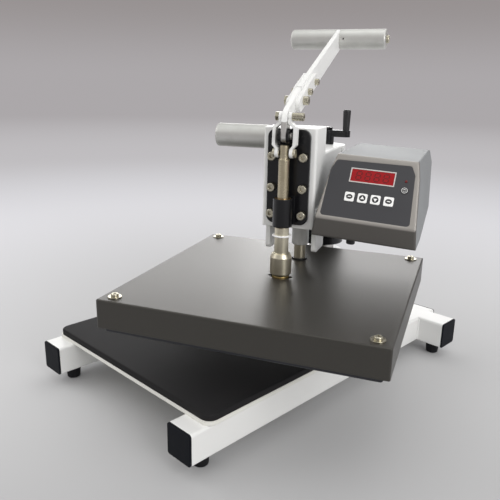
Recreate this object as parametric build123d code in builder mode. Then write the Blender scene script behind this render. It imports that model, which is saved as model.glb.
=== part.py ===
from build123d import *
import math
import os

# A manual swing-away heat press with a square 15 inch platen, in millimetres.
# X is the operator's right, Y is away from the operator, and Z is up from the bench.
# The head is swung out to the right and raised, and the lever leans back.
# The origin is on the bench, under the middle of the whole press in this pose.

os.makedirs("parts", exist_ok=True)

# Driving dimensions of the layout
platen_size = 381.0
reach = 270.0
swing_angle = 24.1
column_x = -65.19
column_y = 190.28
foot_height = 22.0

# Driving dimensions of the base
tube = 46.0
tube_wall = 2.5
tube_corner = 4.0
long_tube_x = 165.6
long_tube_front = 487.0
long_tube_rear = 120.0
stub_end = 236.0
rear_tube_y = 86.0
cap_thickness = 3.0
plate_margin = 1.0
plate_thickness = 5.5
plate_corner = 13.0
pad_thickness = 9.0
pad_corner = 15.0
column_outside = 80.0
column_height = 97.0
spindle_diameter = 48.0
spindle_top = 345.0

# Driving dimensions of the arm, with heights above the bench
arm_offset = 2.2
arm_half_width = 41.2
arm_front_y = 26.0
arm_back_y = 84.0
arm_bottom_z = 272.0
arm_top_z = 423.0
arm_wall = 5.0
sleeve_outside = 70.0
sleeve_inside = 52.0
sleeve_bottom_z = 263.0
sleeve_top_z = 377.0
ram_diameter = 16.4
guide_rod_y = 105.0
guide_rod_diameter = 19.0

# Driving dimensions of the lever, in the side view of the arm
fulcrum_y = 0.0
fulcrum_z = 412.5
link_top_y = 3.3
link_top_z = 440.0
link_bottom_z = 388.5
tee_y = 313.0
tee_z = 564.0
blade_width = 31.0
bar_half = 4.0
large_hole = 8.4

# Driving dimensions of the head
platen_bottom_z = 153.5
platen_thickness = 22.0
cover_width = 396.0
cover_depth = 388.0
cover_bottom_z = 159.8
cover_top_z = 200.6
cover_sheet = 2.0
cover_screw_x = 178.5
cover_screw_y = 176.0
heated_size = 378.0

# Driving dimensions of the control box
box_width = 152.0
box_height = 116.4
box_length = 266.0
box_lip = 29.0
box_slope = 60.0
box_wall = 2.5
box_roll = 2.8

# Heights that follow from the driving dimensions
tube_z = foot_height + tube / 2
tube_top_z = foot_height + tube
plate_top_z = tube_top_z + plate_thickness
platen_top_z = platen_bottom_z + platen_thickness

# Planes of the base, through the swing axis: seen from above, from the front and from the right
base_level = Plane(origin=(column_x, column_y, 0))
base_front = Plane(origin=(column_x, column_y, 0), x_dir=(1, 0, 0), z_dir=(0, -1, 0))
base_side = Plane(origin=(column_x, column_y, 0), x_dir=(0, 1, 0), z_dir=(1, 0, 0))

# Planes of the swung arm, through the ram axis: seen from above, from the front and from the right
swing_cos = math.cos(math.radians(swing_angle))
swing_sin = math.sin(math.radians(swing_angle))
up = Vector(0, 0, 1)
arm_right = Vector(swing_cos, swing_sin, 0)
arm_back = Vector(-swing_sin, swing_cos, 0)
head_foot = Vector(column_x, column_y, 0) - arm_back * reach
ram_foot = head_foot + arm_right * arm_offset
level = Plane(origin=ram_foot, x_dir=arm_right, z_dir=up)
front = Plane(origin=ram_foot, x_dir=arm_right, z_dir=-arm_back)
side = Plane(origin=ram_foot, x_dir=arm_back, z_dir=arm_right)

# The head hangs centred in front of the swing axis, and the ram pushes a little to the right of its middle
head_level = Plane(origin=head_foot, x_dir=arm_right, z_dir=up)
swing_axis_place = (-arm_offset, reach)


def rounded_tubes(plane, places, size, corner):
    """Sketch rounded squares on a plane, ready to be extruded."""
    with BuildSketch(plane) as squares:
        with Locations(*places):
            RectangleRounded(size, size, corner)
    return squares.sketch


def discs(plane, places, diameter):
    """Sketch discs on a plane, ready to be extruded."""
    with BuildSketch(plane) as circles:
        with Locations(*places):
            Circle(diameter / 2)
    return circles.sketch


def socket_screws(plane, places, head, head_height, shank, shank_length):
    """Add socket head screws that stand on a plane, with their shanks behind it."""
    extrude(discs(plane, places, head), amount=head_height)
    rims = edges(Select.LAST).filter_by(GeomType.CIRCLE)
    tops = rims.filter_by(lambda rim: plane.to_local_coords(rim.center()).Z > head_height / 2)
    chamfer(tops, head / 20)
    extrude(discs(plane, places, shank), amount=-shank_length)
    with BuildSketch(plane.offset(head_height)) as sockets:
        with Locations(*places):
            RegularPolygon(head * 0.26, 6)
    extrude(sockets.sketch, amount=-head_height / 2, mode=Mode.SUBTRACT)


def hexagon_nuts(plane, places, across_flats, height, hole):
    """Add hexagon nuts that stand on a plane."""
    with BuildSketch(plane) as rings:
        with Locations(*places):
            RegularPolygon(across_flats / 2, 6, major_radius=False)
            Circle(hole / 2, mode=Mode.SUBTRACT)
    extrude(rings.sketch, amount=height)


# Base frame: two long square tubes joined by a middle and a rear cross tube.
# The rear cross tube runs on outside the long tubes as two stubs.
bore = tube - 2 * tube_wall
bore_corner = tube_corner - tube_wall
long_places = [(-long_tube_x, tube_z), (long_tube_x, tube_z)]
long_length = long_tube_front + long_tube_rear
column_bolt_places = [(-50, -13), (50, -13), (-50, 13), (50, 13)]
with BuildPart() as base_frame:
    extrude(
        rounded_tubes(base_front.offset(long_tube_front), long_places, tube, tube_corner),
        amount=-long_length,
    )
    extrude(
        rounded_tubes(base_side.offset(-stub_end), [(rear_tube_y, tube_z)], tube, tube_corner),
        amount=2 * stub_end,
    )
    extrude(
        rounded_tubes(base_side.offset(-long_tube_x), [(0, tube_z)], tube, tube_corner),
        amount=2 * long_tube_x,
    )
    extrude(
        rounded_tubes(base_front.offset(long_tube_front), long_places, bore, bore_corner),
        amount=-long_length,
        mode=Mode.SUBTRACT,
    )
    extrude(
        rounded_tubes(base_side.offset(-stub_end), [(rear_tube_y, tube_z)], bore, bore_corner),
        amount=2 * stub_end,
        mode=Mode.SUBTRACT,
    )
    extrude(
        rounded_tubes(base_side.offset(-long_tube_x), [(0, tube_z)], bore, bore_corner),
        amount=2 * long_tube_x,
        mode=Mode.SUBTRACT,
    )
    extrude(
        discs(base_level.offset(tube_z), column_bolt_places, large_hole),
        amount=tube,
        mode=Mode.SUBTRACT,
    )
base_frame.part.label = "base_frame"
export_step(base_frame.part, "parts/base_frame.step")

# Tube end caps: moulded caps with an insert that grips the bore of the tube
cap_insert = bore - 0.4
cap_depth = 12.0
with BuildPart() as tube_end_caps:
    for end_plane, outward, places in (
        (base_front.offset(long_tube_front), 1, long_places),
        (base_front.offset(-long_tube_rear), -1, long_places),
        (base_side.offset(stub_end), 1, [(rear_tube_y, tube_z)]),
        (base_side.offset(-stub_end), -1, [(rear_tube_y, tube_z)]),
    ):
        extrude(rounded_tubes(end_plane, places, tube, tube_corner), amount=outward * cap_thickness)
        outer_edges = edges(Select.LAST).filter_by(
            lambda edge: abs(end_plane.to_local_coords(edge.center()).Z - outward * cap_thickness) < 0.1
        )
        fillet(outer_edges, 1.2)
        extrude(rounded_tubes(end_plane, places, cap_insert, bore_corner), amount=-outward * cap_depth)
tube_end_caps.part.label = "tube_end_caps"
export_step(tube_end_caps.part, "parts/tube_end_caps.step")

# Rubber feet: under the front of the long tubes and under the rear stubs
foot_front_y = -453
foot_rear_x = 210
foot_places = [
    (-long_tube_x, foot_front_y),
    (long_tube_x, foot_front_y),
    (-foot_rear_x, rear_tube_y),
    (foot_rear_x, rear_tube_y),
]
with BuildPart() as rubber_feet:
    foot_middle = base_level.offset(foot_height / 2).location
    with Locations(*[foot_middle * Location(place) for place in foot_places]):
        Cone(bottom_radius=10.5, top_radius=12.5, height=foot_height)
    chamfer(edges().filter_by(GeomType.CIRCLE).group_by(Axis.Z)[0], 1.2)
rubber_feet.part.label = "rubber_feet"
export_step(rubber_feet.part, "parts/rubber_feet.step")

# Lower platen: a painted steel plate on the long tubes, with the soft pad on top
with BuildPart() as lower_platen_plate:
    with BuildSketch(base_level.offset(tube_top_z)):
        with Locations((0, -reach)):
            RectangleRounded(platen_size + 2 * plate_margin, platen_size + 2 * plate_margin, plate_corner)
    extrude(amount=plate_thickness)
lower_platen_plate.part.label = "lower_platen_plate"
export_step(lower_platen_plate.part, "parts/lower_platen_plate.step")

with BuildPart() as silicone_pad:
    with BuildSketch(base_level.offset(plate_top_z)):
        with Locations((0, -reach)):
            RectangleRounded(platen_size, platen_size, pad_corner)
    extrude(amount=pad_thickness)
    fillet(faces().sort_by(Axis.Z)[-1].edges(), 2.5)
silicone_pad.part.label = "silicone_pad"
export_step(silicone_pad.part, "parts/silicone_pad.step")

# Column: a thick post with a round flange, bolted to the middle cross tube
flange_diameter = 130.0
flange_thickness = 10.0
column_top_z = tube_top_z + flange_thickness + column_height
with BuildPart() as column:
    extrude(discs(base_level.offset(tube_top_z), [(0, 0)], flange_diameter), amount=flange_thickness)
    extrude(
        discs(base_level.offset(tube_top_z), [(0, 0)], column_outside),
        amount=column_top_z - tube_top_z,
    )
    extrude(
        discs(base_level.offset(tube_top_z), [(0, 0)], spindle_diameter + 0.1),
        amount=column_top_z - tube_top_z,
        mode=Mode.SUBTRACT,
    )
    extrude(
        discs(base_level.offset(tube_top_z), column_bolt_places, large_hole),
        amount=flange_thickness,
        mode=Mode.SUBTRACT,
    )
    chamfer(edges().filter_by(GeomType.CIRCLE).group_by(Axis.Z)[-1], 1.0)
column.part.label = "column"
export_step(column.part, "parts/column.step")

with BuildPart() as column_bolts:
    socket_screws(
        base_level.offset(tube_top_z + flange_thickness),
        column_bolt_places,
        head=13,
        head_height=8,
        shank=8,
        shank_length=20,
    )
column_bolts.part.label = "column_bolts"
export_step(column_bolts.part, "parts/column_bolts.step")

# Spindle: the ground post that the arm slides and turns on, bored for the lift screw
lift_screw_diameter = 12.0
with BuildPart() as spindle:
    extrude(
        discs(base_level.offset(tube_top_z), [(0, 0)], spindle_diameter),
        amount=spindle_top - tube_top_z,
    )
    extrude(
        discs(base_level.offset(spindle_top), [(0, 0)], lift_screw_diameter + 1),
        amount=-95,
        mode=Mode.SUBTRACT,
    )
spindle.part.label = "spindle"
export_step(spindle.part, "parts/spindle.step")

with BuildPart() as lift_nut:
    extrude(discs(base_level.offset(spindle_top), [(0, 0)], 30), amount=8)
    extrude(
        discs(base_level.offset(spindle_top), [(0, 0)], lift_screw_diameter + 0.1),
        amount=8,
        mode=Mode.SUBTRACT,
    )
lift_nut.part.label = "lift_nut"
export_step(lift_nut.part, "parts/lift_nut.step")

# Height collar: the tall ring that slides on the spindle and carries the turning sleeve
collar_height = 70.5
collar_diameter = 80.0
collar_top_z = sleeve_bottom_z - 0.5
with BuildPart() as height_collar:
    extrude(discs(base_level.offset(collar_top_z), [(0, 0)], collar_diameter), amount=-collar_height)
    extrude(
        discs(base_level.offset(collar_top_z), [(0, 0)], spindle_diameter + 0.1),
        amount=-collar_height,
        mode=Mode.SUBTRACT,
    )
    chamfer(edges().filter_by(GeomType.CIRCLE), 0.8)
height_collar.part.label = "height_collar"
export_step(height_collar.part, "parts/height_collar.step")

# Swing arm: one weldment of a front box with two ears, a hollow beam and the sleeve
beam_half_width = 30.0
beam_bottom_z = 290.0
beam_top_z = 378.0
beam_back_y = 255.0
ear_inside = 34.0
plate_screw_x = 24.2
plate_screw_z = (294.5, 334.4, 381.0)
plate_screw_places = [(x, z) for x in (-plate_screw_x, plate_screw_x) for z in plate_screw_z]
box_middle_y = (arm_front_y + arm_back_y) / 2
box_depth = arm_back_y - arm_front_y
beam_middle_y = (arm_back_y + beam_back_y) / 2
beam_length = beam_back_y - arm_back_y
handle_y = 52.0
handle_z = 405.5
rod_bushing_neck = 22.0
with BuildPart() as swing_arm:
    # The beam, with its inside cut away
    with BuildSketch(level.offset(beam_bottom_z)):
        with Locations((0, beam_middle_y)):
            Rectangle(2 * beam_half_width, beam_length)
    extrude(amount=beam_top_z - beam_bottom_z)
    fillet(edges().filter_by(lambda edge: edge.length > beam_length - 1), 4)
    with BuildSketch(level.offset(beam_bottom_z + arm_wall)):
        with Locations((0, beam_middle_y)):
            Rectangle(2 * (beam_half_width - arm_wall), beam_length)
    extrude(amount=beam_top_z - beam_bottom_z - 2 * arm_wall, mode=Mode.SUBTRACT)
    # The front box, open underneath
    with BuildSketch(level.offset(arm_bottom_z)):
        with Locations((0, box_middle_y)):
            RectangleRounded(2 * arm_half_width, box_depth, 4)
    extrude(amount=arm_top_z - arm_bottom_z)
    top_face = faces().sort_by(Axis.Z)[-1]
    fillet(top_face.edges(), 2)
    with BuildSketch(level.offset(arm_bottom_z)):
        with Locations((0, box_middle_y)):
            Rectangle(2 * (arm_half_width - arm_wall), box_depth - 2 * arm_wall)
    extrude(amount=arm_top_z - arm_bottom_z - arm_wall, mode=Mode.SUBTRACT)
    # The ears that reach down beside the ram
    for ear_side in (-1, 1):
        with BuildSketch(side.offset(ear_side * ear_inside)):
            with Locations((71.5, 265)):
                RectangleRounded(49, 70, 6)
        extrude(amount=ear_side * (arm_half_width - ear_inside))
    # The sleeve around the spindle, closed on top
    extrude(
        discs(level.offset(sleeve_bottom_z), [swing_axis_place], sleeve_outside),
        amount=sleeve_top_z - sleeve_bottom_z,
    )
    extrude(
        discs(level.offset(sleeve_bottom_z), [swing_axis_place], sleeve_inside),
        amount=sleeve_top_z - sleeve_bottom_z - 6,
        mode=Mode.SUBTRACT,
    )
    extrude(
        discs(level.offset(sleeve_top_z), [swing_axis_place], lift_screw_diameter + 0.2),
        amount=-10,
        mode=Mode.SUBTRACT,
    )
    # The seat of the guide rod bushing, the screw holes and the round hole in the top
    extrude(
        discs(level.offset(beam_bottom_z), [(0, guide_rod_y)], rod_bushing_neck),
        amount=arm_wall,
        mode=Mode.SUBTRACT,
    )
    extrude(
        discs(front.offset(-arm_front_y), plate_screw_places, large_hole),
        amount=-arm_wall,
        mode=Mode.SUBTRACT,
    )
    extrude(discs(level.offset(arm_top_z), [(29, 45)], 11), amount=-arm_wall, mode=Mode.SUBTRACT)
swing_arm.part.label = "swing_arm"
export_step(swing_arm.part, "parts/swing_arm.step")

with BuildPart() as sleeve_bushings:
    for bottom_z in (sleeve_bottom_z, sleeve_top_z - 26):
        extrude(discs(level.offset(bottom_z), [swing_axis_place], sleeve_inside), amount=20)
        extrude(
            discs(level.offset(bottom_z), [swing_axis_place], spindle_diameter + 0.1),
            amount=20,
            mode=Mode.SUBTRACT,
        )
sleeve_bushings.part.label = "sleeve_bushings"
export_step(sleeve_bushings.part, "parts/sleeve_bushings.step")

# Guide plate: carries the fulcrum ears at its top and the boss of the ram bushing at its foot
plate_half_width = 32.5
plate_bottom_z = 278.6
plate_top = 421.0
plate_front_y = 20.0
boss_diameter = 29.2
boss_bottom_z = 280.0
boss_top_z = 322.0
ram_bushing_outside = 24.0
fulcrum_ear_inside = 4.2
fulcrum_ear_outside = 8.5
fulcrum_ear_radius = 11.0
pin_diameter = 10.0
with BuildPart() as guide_plate:
    with BuildSketch(front.offset(-plate_front_y)):
        with Locations((0, (plate_bottom_z + plate_top) / 2)):
            RectangleRounded(2 * plate_half_width, plate_top - plate_bottom_z, 12)
    extrude(amount=plate_front_y - arm_front_y)
    chamfer(faces().sort_by(Axis((0, 0, 0), tuple(arm_back)))[0].edges(), 0.8)
    with BuildSketch(level.offset(boss_bottom_z)):
        Circle(boss_diameter / 2)
        with Locations((0, plate_front_y / 2)):
            Rectangle(24, plate_front_y)
    extrude(amount=boss_top_z - boss_bottom_z)
    for ear_side in (-1, 1):
        with BuildSketch(side.offset(ear_side * fulcrum_ear_inside)):
            with Locations((fulcrum_y, fulcrum_z)):
                Circle(fulcrum_ear_radius)
            with Locations((plate_front_y / 2, fulcrum_z)):
                Rectangle(plate_front_y, 2 * fulcrum_ear_radius)
        extrude(amount=ear_side * (fulcrum_ear_outside - fulcrum_ear_inside))
    extrude(
        discs(side, [(fulcrum_y, fulcrum_z)], pin_diameter),
        amount=fulcrum_ear_outside,
        both=True,
        mode=Mode.SUBTRACT,
    )
    extrude(
        discs(level.offset(boss_bottom_z), [(0, 0)], ram_bushing_outside),
        amount=boss_top_z - boss_bottom_z,
        mode=Mode.SUBTRACT,
    )
    extrude(
        discs(front.offset(-plate_front_y), plate_screw_places, large_hole),
        amount=plate_front_y - arm_front_y,
        mode=Mode.SUBTRACT,
    )
guide_plate.part.label = "guide_plate"
export_step(guide_plate.part, "parts/guide_plate.step")

with BuildPart() as guide_plate_screws:
    socket_screws(
        front.offset(-plate_front_y),
        plate_screw_places,
        head=13,
        head_height=8,
        shank=8,
        shank_length=14,
    )
guide_plate_screws.part.label = "guide_plate_screws"
export_step(guide_plate_screws.part, "parts/guide_plate_screws.step")

with BuildPart() as ram_bushing:
    extrude(
        discs(level.offset(boss_bottom_z), [(0, 0)], ram_bushing_outside),
        amount=boss_top_z - boss_bottom_z,
    )
    extrude(
        discs(level.offset(boss_bottom_z), [(0, 0)], ram_diameter + 0.1),
        amount=boss_top_z - boss_bottom_z,
        mode=Mode.SUBTRACT,
    )
ram_bushing.part.label = "ram_bushing"
export_step(ram_bushing.part, "parts/ram_bushing.step")

with BuildPart() as fulcrum_pin:
    extrude(
        discs(side, [(fulcrum_y, fulcrum_z)], pin_diameter),
        amount=fulcrum_ear_outside + 2.2,
        both=True,
    )
    chamfer(edges().filter_by(GeomType.CIRCLE), 0.6)
fulcrum_pin.part.label = "fulcrum_pin"
export_step(fulcrum_pin.part, "parts/fulcrum_pin.step")

# Swing handle: a bare tube on the left of the front box, with a plug in its end
handle_diameter = 36.0
handle_end_x = 122.5
with BuildPart() as swing_handle:
    with BuildSketch(side.offset(-arm_half_width)):
        with Locations((handle_y, handle_z)):
            Circle(handle_diameter / 2)
            Circle(handle_diameter / 2 - 2, mode=Mode.SUBTRACT)
    extrude(amount=arm_half_width - handle_end_x)
swing_handle.part.label = "swing_handle"
export_step(swing_handle.part, "parts/swing_handle.step")

with BuildPart() as swing_handle_plug:
    extrude(discs(side.offset(-handle_end_x), [(handle_y, handle_z)], handle_diameter), amount=-3)
    fillet(edges().filter_by(GeomType.CIRCLE).sort_by(Axis((0, 0, 0), tuple(arm_right)))[0], 1.5)
    extrude(
        discs(side.offset(-handle_end_x), [(handle_y, handle_z)], handle_diameter - 4.4),
        amount=14,
    )
swing_handle_plug.part.label = "swing_handle_plug"
export_step(swing_handle_plug.part, "parts/swing_handle_plug.step")

# Guide rod bushing: hangs from the floor of the beam and keeps the head from turning
rod_bushing_diameter = 28.0
rod_bushing_length = 63.5
with BuildPart() as guide_rod_bushing:
    extrude(
        discs(level.offset(beam_bottom_z), [(0, guide_rod_y)], rod_bushing_diameter),
        amount=-rod_bushing_length,
    )
    chamfer(edges().filter_by(GeomType.CIRCLE).sort_by(Axis.Z)[0], 1.5)
    extrude(discs(level.offset(beam_bottom_z), [(0, guide_rod_y)], rod_bushing_neck), amount=arm_wall)
    extrude(
        discs(level.offset(beam_bottom_z + arm_wall), [(0, guide_rod_y)], guide_rod_diameter + 0.1),
        amount=-arm_wall - rod_bushing_length,
        mode=Mode.SUBTRACT,
    )
guide_rod_bushing.part.label = "guide_rod_bushing"
export_step(guide_rod_bushing.part, "parts/guide_rod_bushing.step")

# Control box planes: the box leans a little to the right, as its bracket has sagged
roll_cos = math.cos(math.radians(box_roll))
roll_sin = math.sin(math.radians(box_roll))
slope_cos = math.cos(math.radians(box_slope))
slope_sin = math.sin(math.radians(box_slope))
box_x = 45.6 - arm_offset
box_y = 4.6
box_z = 270.6
box_right = arm_right * roll_cos - up * roll_sin
box_up = arm_right * roll_sin + up * roll_cos
box_corner = ram_foot + arm_right * box_x + arm_back * box_y + up * box_z
box_front = Plane(origin=box_corner, x_dir=box_right, z_dir=-arm_back)
box_side = Plane(origin=box_corner, x_dir=arm_back, z_dir=box_right)
panel = Plane(
    origin=box_corner + box_up * box_lip,
    x_dir=box_right,
    z_dir=box_up * slope_cos - arm_back * slope_sin,
)

# Control bracket: an angle on the right of the front box, with a shelf under the control box
bracket_thickness = 2.0
bracket_top_z = 302.0
bracket_inside = arm_half_width
shelf_end_x = 125.0
shelf_fall = math.tan(math.radians(box_roll))
shelf_start_z = box_z + (box_x - bracket_inside - bracket_thickness) * shelf_fall
shelf_end_z = box_z - (shelf_end_x - box_x) * shelf_fall
with BuildPart() as control_bracket:
    with BuildSketch(front.offset(-32)):
        with BuildLine():
            Polyline(
                (bracket_inside, bracket_top_z),
                (bracket_inside + bracket_thickness, bracket_top_z),
                (bracket_inside + bracket_thickness, shelf_start_z),
                (shelf_end_x, shelf_end_z),
                (shelf_end_x, shelf_end_z - bracket_thickness),
                (bracket_inside, shelf_start_z - bracket_thickness),
                close=True,
            )
        make_face()
    extrude(amount=-36)
control_bracket.part.label = "control_bracket"
export_step(control_bracket.part, "parts/control_bracket.step")

# Control housing: a folded shell that narrows upwards, with a sloping front and an open floor
slope_back_y = (box_height - box_lip) * slope_cos / slope_sin
floor_turn_y = 66.0
floor_end_y = 226.0
floor_end_z = 22.0
shoulder_y = 246.0
shoulder_z = 114.5
back_z = 93.0
panel_outline = [(9.8, 3.4), (139, 3.1), (134.1, 79.6), (127.4, 93.6), (18.4, 91.5), (11.9, 75)]
panel_thickness = 1.0
key_size = 14.0
key_v = 36.1
key_places = {"menu_key": 47.7, "up_key": 66.6, "down_key": 85.3, "enter_key": 104.2}
power_key_place = (123.0, 55.6)
power_key_diameter = 9.4
lamp_place = (123.0, 69.6)
lamp_diameter = 4.0
display_place = (74.9, 70.2)
display_width = 65.5
display_height = 22.4
key_gap = 0.4


def panel_openings(depth):
    """Cut the openings for the keys, the display, the lamp and the power key."""
    with BuildSketch(panel) as openings:
        with Locations(*[(key_x, key_v) for key_x in key_places.values()]):
            RectangleRounded(key_size + 2 * key_gap, key_size + 2 * key_gap, 2.4)
        with Locations(display_place):
            Rectangle(display_width, display_height)
        with Locations(power_key_place):
            Circle(power_key_diameter / 2 + key_gap)
        with Locations(lamp_place):
            Circle(lamp_diameter / 2)
    extrude(openings.sketch, amount=-depth, mode=Mode.SUBTRACT)


bezel_depth = 6.0
with BuildPart() as box_shell:
    with BuildSketch(box_front):
        with BuildLine():
            Polyline(
                (0, 0),
                (box_width, 0),
                (box_width - 10.5, 92),
                (box_width - 15.9, box_height),
                (17, box_height),
                (11, 92),
                close=True,
            )
        make_face()
    extrude(amount=-box_length)
    with BuildSketch(box_side.offset(-10)):
        with BuildLine():
            Polyline(
                (0, 0),
                (floor_turn_y, 0),
                (floor_end_y, floor_end_z),
                (box_length, back_z),
                (shoulder_y, shoulder_z),
                (shoulder_y - 20, box_height),
                (slope_back_y, box_height),
                (0, box_lip),
                close=True,
            )
        make_face()
    extrude(amount=box_width + 20, mode=Mode.INTERSECT)
    # Round every edge but those around the floor, then hollow the shell from below
    floor_faces = faces().filter_by(lambda face: face.normal_at().dot(box_up) < -0.9)
    floor_edges = floor_faces.edges()
    shell_edges = edges().filter_by(lambda edge: all(not edge.is_same(other) for other in floor_edges))
    fillet(shell_edges, 2.6)
    floor_faces = faces().filter_by(lambda face: face.normal_at().dot(box_up) < -0.9)
    offset(amount=-box_wall, openings=floor_faces)
    # The shallow pocket of the panel and the openings behind it
    with BuildSketch(panel):
        with BuildLine():
            Polyline(*panel_outline, close=True)
        make_face()
        fillet(vertices(), 5)
    extrude(amount=-panel_thickness, mode=Mode.SUBTRACT)
    panel_openings(2 * box_wall)

# The shell is two mouldings that meet behind the sloping front: a bezel and a cover
with BuildSketch(box_side.offset(-10)) as bezel_profile:
    with BuildLine():
        Polyline(
            (-20, -20),
            (bezel_depth, -20),
            (bezel_depth, box_lip - bezel_depth / 4),
            (slope_back_y + bezel_depth, box_height + 2),
            (slope_back_y + bezel_depth, box_height + 20),
            (-20, box_height + 20),
            close=True,
        )
    make_face()

with BuildPart() as control_bezel:
    add(box_shell.part)
    extrude(bezel_profile.sketch, amount=box_width + 20, mode=Mode.INTERSECT)
control_bezel.part.label = "control_bezel"
export_step(control_bezel.part, "parts/control_bezel.step")

with BuildPart() as control_housing:
    add(box_shell.part)
    extrude(bezel_profile.sketch, amount=box_width + 20, mode=Mode.SUBTRACT)
control_housing.part.label = "control_housing"
export_step(control_housing.part, "parts/control_housing.step")

# Control panel: the dark plate in the pocket of the sloping front
with BuildPart() as control_panel:
    with BuildSketch(panel):
        with BuildLine():
            Polyline(*panel_outline, close=True)
        make_face()
        fillet(vertices(), 5)
    extrude(amount=-panel_thickness)
    panel_openings(box_wall)
control_panel.part.label = "control_panel"
export_step(control_panel.part, "parts/control_panel.step")

# Floor of the control box: a folded plate between the side walls
floor_margin = 3.4
wall_lean = 0.12
fuse_place = (58.0, 12.0)
fuse_hole = 10.0
box_level = Plane(origin=box_corner, x_dir=box_right, z_dir=box_up)
with BuildPart() as control_floor:
    with BuildSketch(box_side.offset(box_wall + 0.5)):
        with BuildLine():
            Polyline(
                (box_wall + 0.5, 0),
                (floor_turn_y, 0),
                (floor_end_y - 4, floor_end_z - 0.6),
                (floor_end_y - 4, floor_end_z - 0.6 + box_wall),
                (floor_turn_y, box_wall),
                (box_wall + 0.5, box_wall),
                close=True,
            )
        make_face()
    extrude(amount=box_width - 2 * box_wall - 1)
    # The side walls lean inwards, so the floor narrows as it climbs to the back
    with BuildSketch(box_front):
        with BuildLine():
            Polyline(
                (floor_margin, 0),
                (box_width - floor_margin, 0),
                (box_width - floor_margin - wall_lean * floor_end_z * 2, floor_end_z * 2),
                (floor_margin + wall_lean * floor_end_z * 2, floor_end_z * 2),
                close=True,
            )
        make_face()
    extrude(amount=-box_length, mode=Mode.INTERSECT)
    extrude(discs(box_level, [fuse_place], fuse_hole), amount=box_wall, mode=Mode.SUBTRACT)
control_floor.part.label = "control_floor"
export_step(control_floor.part, "parts/control_floor.step")

# Display: a pale frame around a window, both in the opening of the panel
frame_rim = 1.6
window_width = display_width - 2 * frame_rim
window_height = display_height - 2 * frame_rim
with BuildPart() as display_frame:
    with BuildSketch(panel.offset(-box_wall)):
        with Locations(display_place):
            Rectangle(display_width, display_height)
            Rectangle(window_width, window_height, mode=Mode.SUBTRACT)
    extrude(amount=box_wall + 0.6)
display_frame.part.label = "display_frame"
export_step(display_frame.part, "parts/display_frame.step")

with BuildPart() as display_window:
    with BuildSketch(panel.offset(-box_wall)):
        with Locations(display_place):
            Rectangle(window_width, window_height)
    extrude(amount=box_wall)
display_window.part.label = "display_window"
export_step(display_window.part, "parts/display_window.step")

# Power lamp: a small domed lens
with BuildPart() as power_lamp:
    extrude(discs(panel.offset(-box_wall), [lamp_place], lamp_diameter), amount=box_wall + 1.4)
    fillet(edges().filter_by(GeomType.CIRCLE).sort_by(Axis.Z)[-1], 1.2)
power_lamp.part.label = "power_lamp"
export_step(power_lamp.part, "parts/power_lamp.step")

# Keys: rounded caps with a wider foot inside the housing, sprung outwards
key_rise = 1.0
key_depth = 5.0
for key_name, key_x in key_places.items():
    with BuildPart() as key:
        with BuildSketch(panel.offset(-key_depth)):
            with Locations((key_x, key_v)):
                RectangleRounded(key_size, key_size, 2)
        extrude(amount=key_depth + key_rise)
        top_face = faces().filter_by(lambda face: face.normal_at().dot(panel.z_dir) > 0.99)
        chamfer(top_face.edges(), 0.3)
        with BuildSketch(panel.offset(-key_depth)):
            with Locations((key_x, key_v)):
                RectangleRounded(key_size + 2, key_size + 2, 2)
        extrude(amount=1)
    key.part.label = key_name
    export_step(key.part, f"parts/{key_name}.step")

with BuildPart() as power_key:
    extrude(
        discs(panel.offset(-key_depth), [power_key_place], power_key_diameter),
        amount=key_depth + key_rise,
    )
    top_face = faces().filter_by(lambda face: face.normal_at().dot(panel.z_dir) > 0.99)
    chamfer(top_face.edges(), 0.3)
    extrude(discs(panel.offset(-key_depth), [power_key_place], power_key_diameter + 2), amount=1)
power_key.part.label = "power_key"
export_step(power_key.part, "parts/power_key.step")

# Fuse holder: a round cap under the front of the box
with BuildPart() as fuse_holder:
    extrude(discs(box_level, [fuse_place], 13), amount=-8)
    fillet(edges().filter_by(GeomType.CIRCLE).sort_by(Axis.Z)[0], 1.5)
    extrude(discs(box_level, [fuse_place], fuse_hole - 0.2), amount=18)
fuse_holder.part.label = "fuse_holder"
export_step(fuse_holder.part, "parts/fuse_holder.step")

# Power inlet: a flanged socket with three blades on the back of the box
inlet_tilt = math.atan2(back_z - floor_end_z, box_length - floor_end_y)
inlet_middle = box_corner + box_right * (box_width / 2)
inlet_middle += arm_back * ((floor_end_y + box_length) / 2) + box_up * ((floor_end_z + back_z) / 2)
inlet = Plane(
    origin=inlet_middle,
    x_dir=-box_right,
    z_dir=arm_back * math.sin(inlet_tilt) - box_up * math.cos(inlet_tilt),
)
with BuildPart() as power_inlet:
    with BuildSketch(inlet):
        RectangleRounded(50, 28, 3)
    extrude(amount=2.4)
    with BuildSketch(inlet.offset(2.4)):
        RectangleRounded(26, 18, 2)
    extrude(amount=-1.6, mode=Mode.SUBTRACT)
    with BuildSketch(inlet.offset(0.8)):
        with Locations((-7, -2), (7, -2), (0, 3)):
            Rectangle(2, 4)
    extrude(amount=1.2)
power_inlet.part.label = "power_inlet"
export_step(power_inlet.part, "parts/power_inlet.step")

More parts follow.
